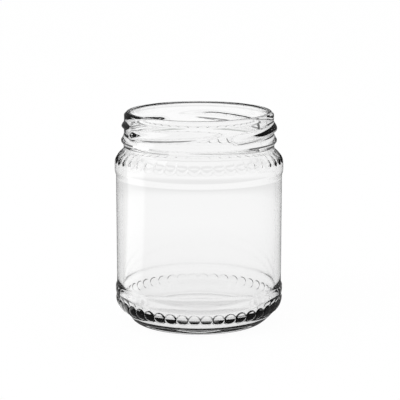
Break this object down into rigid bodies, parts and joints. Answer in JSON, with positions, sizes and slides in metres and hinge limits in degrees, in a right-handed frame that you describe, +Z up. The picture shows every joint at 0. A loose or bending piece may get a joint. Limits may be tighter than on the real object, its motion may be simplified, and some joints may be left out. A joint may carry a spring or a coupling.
{
  "type": "empty glass honey jar",
  "caption": "Empty clear glass honey jar with a four-start lug screw finish, a ring of round prints at heel and shoulder, and a recessed label panel.",
  "frame": {"origin": "centre of the standing ring, on the surface the jar stands on", "axes": "+Z up along the jar's axis of revolution, -Y towards the viewer, +X to the viewer's right"},
  "size_m": [0.0674, 0.0674, 0.0847],
  "materials": {
    "glass": "clear gloss"
  },
  "bodies": {
    "root": {"glass_jar": "glass"}
  },
  "joints": []
}
